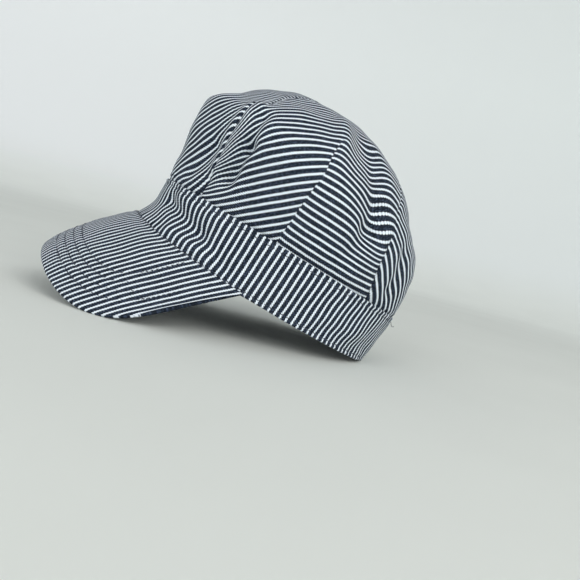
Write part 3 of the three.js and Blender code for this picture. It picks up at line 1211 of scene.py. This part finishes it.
middle_front = along_curve(MIDDLE)
middle_back = along_curve(MIDDLE, 1, 180)
front_left = along_curve(FRONT_SEAM)
front_right = along_curve(FRONT_SEAM, -1)
back_left = along_curve(BACK_SEAM)
back_right = along_curve(BACK_SEAM, -1)
back_onward = along_curve(BACK_SEAM, -1, 360)
dart_left = along_curve(SIDE_DART)
dart_right = along_curve(SIDE_DART, -1)

reverse = reverse_twill()
thread = sewing_thread()

# Node, seam, dart, seam, and the slant of the stripes from the lower edge at one end
PANELS = (
    ("crown_front", front_right, middle_front, front_left, 33, "end"),
    ("crown_left", front_left, dart_left, back_left, 37, "start"),
    ("crown_back", back_left, middle_back, back_onward, -42, "start"),
    ("crown_right", back_right, dart_right, front_right, -37, "end"),
)
for number, (node, *panel) in enumerate(PANELS):
    piece = crown_panel(node, *panel, number)
    piece.data.materials.append(striped_twill(node + "_twill", number))
    piece.data.materials.append(reverse)
    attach(piece, BODY)
    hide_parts(node)

for piece, node, number in ((band_ring(), "band", 5), (brim_shell(), "brim", 0)):
    piece.data.materials.append(striped_twill(node + "_twill", number))
    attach(piece, BODY)
    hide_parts(node)

for piece, node in ((brim_stitches(), "brim"), (band_stitches(), "band"), (loose_thread(), "band")):
    piece.data.materials.append(thread)
    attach(piece, BODY)


# floor, backdrop, light and camera
def studio_bowl():
    """A floor that sweeps up into a wall all round, without a line between them."""
    bend = np.linspace(0, math.pi / 2, BOWL_BEND_STEPS)
    rounded = BOWL_FLAT_RADIUS + BOWL_SWEEP * np.sin(bend)
    radius = np.concatenate([[0.0, BOWL_MIDDLE_RADIUS], rounded, rounded[-1:]])
    height = np.concatenate([[0.0, 0.0], BOWL_SWEEP * (1 - np.cos(bend)), [BOWL_HEIGHT]])
    turn = np.arange(BOWL_SIDES) * TURN / BOWL_SIDES
    rings = np.stack([
        np.outer(np.cos(turn), radius),
        np.outer(np.sin(turn), radius),
        np.broadcast_to(height, (BOWL_SIDES, len(height))),
    ], -1)
    ids = numbered(BOWL_SIDES, len(radius))
    ids = np.concatenate([ids, ids[:1]])
    mesh = bpy.data.meshes.new("studio_floor")
    mesh.from_pydata(rings.reshape(-1, 3).tolist(), [], grid_quads(ids).tolist())
    mesh.polygons.foreach_set("use_smooth", np.ones(len(mesh.polygons), bool))
    floor = linked_object("studio_floor", mesh)
    floor.data.materials.append(pale_card("pale_floor"))


def soft_light(name, place, power, tint):
    """A square soft light that faces the cap."""
    lamp = bpy.data.lights.new(name, "AREA")
    lamp.shape = "SQUARE"
    lamp.size = LIGHT_SIZE
    lamp.energy = power
    lamp.color = tint
    made = linked_object(name, lamp)
    made.location = place
    made.rotation_mode = "QUATERNION"
    made.rotation_quaternion = (Vector(place) - Vector(LIGHT_TARGET)).to_track_quat("Z", "Y")


def open_sky():
    """Even light from above the studio."""
    world = bpy.data.worlds.new("studio_air")
    world.use_nodes = True
    background = world.node_tree.nodes["Background"]
    background.inputs["Color"].default_value = SKY_TINT
    background.inputs["Strength"].default_value = SKY_STRENGTH
    bpy.context.scene.world = world


def photo_camera():
    """The camera, placed as the level band sees it and then tipped back with the cap."""
    azimuth, rise, roll = VIEW_ANGLE * DEG, VIEW_RISE * DEG, VIEW_ROLL * DEG
    back = np.array([
        math.sin(azimuth) * math.cos(rise), -math.cos(azimuth) * math.cos(rise), math.sin(rise),
    ])
    place = VIEW_TARGET + back * VIEW_DISTANCE
    side = unit(np.cross(-back, (0, 0, 1)))
    up = np.cross(side, -back)
    right = math.cos(roll) * side + math.sin(roll) * up
    top = math.cos(roll) * up - math.sin(roll) * side
    data = bpy.data.cameras.new("photo_camera")
    data.sensor_width = SENSOR_MM
    data.sensor_fit = "HORIZONTAL"
    data.lens = LENS_MM
    data.clip_start = 0.01
    data.clip_end = 30.0
    camera = linked_object("photo_camera", data)
    columns = np.stack([turned(right), turned(top), turned(back), to_rest(place)], -1)
    camera.matrix_world = Matrix([*columns.tolist(), (0, 0, 0, 1)])
    bpy.context.scene.camera = camera


studio_bowl()
open_sky()
for light in LIGHTS:
    soft_light(*light)
photo_camera()
bpy.context.scene.view_settings.view_transform = "Standard"
